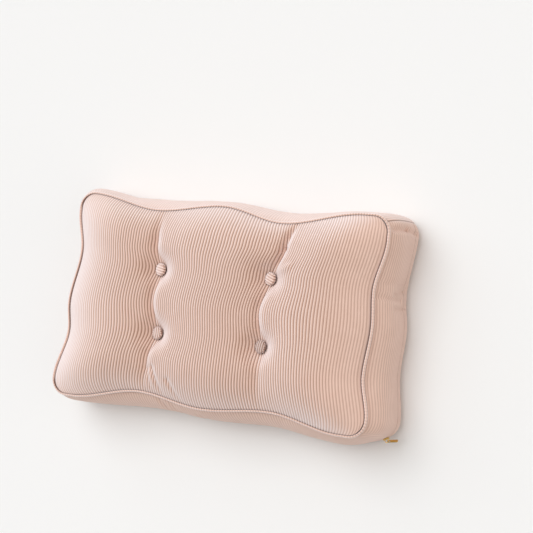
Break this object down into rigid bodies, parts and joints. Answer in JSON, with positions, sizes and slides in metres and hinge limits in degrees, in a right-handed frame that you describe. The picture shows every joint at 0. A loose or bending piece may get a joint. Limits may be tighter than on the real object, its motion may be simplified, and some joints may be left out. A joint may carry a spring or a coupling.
{
  "type": "backrest pillow",
  "caption": "Boxed rectangular backrest cushion in ribbed corduroy, corded front edge, tufted with covered buttons, zipped, lying on its back.",
  "frame": {"origin": "middle of the footprint on the underside, on the surface the pillow rests on", "axes": "+X along the width, +Y towards the edge that is uppermost in use, +Z out of the tufted front panel"},
  "size_m": [0.6302, 0.3807, 0.1271],
  "materials": {
    "corduroy": "matt cut pile in raised wales, with a pale sheen at low angles",
    "piping": "matt corduroy cut across the wales and wrapped round a cord",
    "button_cloth": "matt corduroy stretched over a dome",
    "brass": "polished"
  },
  "bodies": {
    "root": {"pillow": "corduroy", "piping": "piping", "button_top_left": "button_cloth", "button_bottom_left": "button_cloth", "button_top_right": "button_cloth", "button_bottom_right": "button_cloth", "zip_slider": "brass", "zip_pull": "brass"}
  },
  "joints": []
}
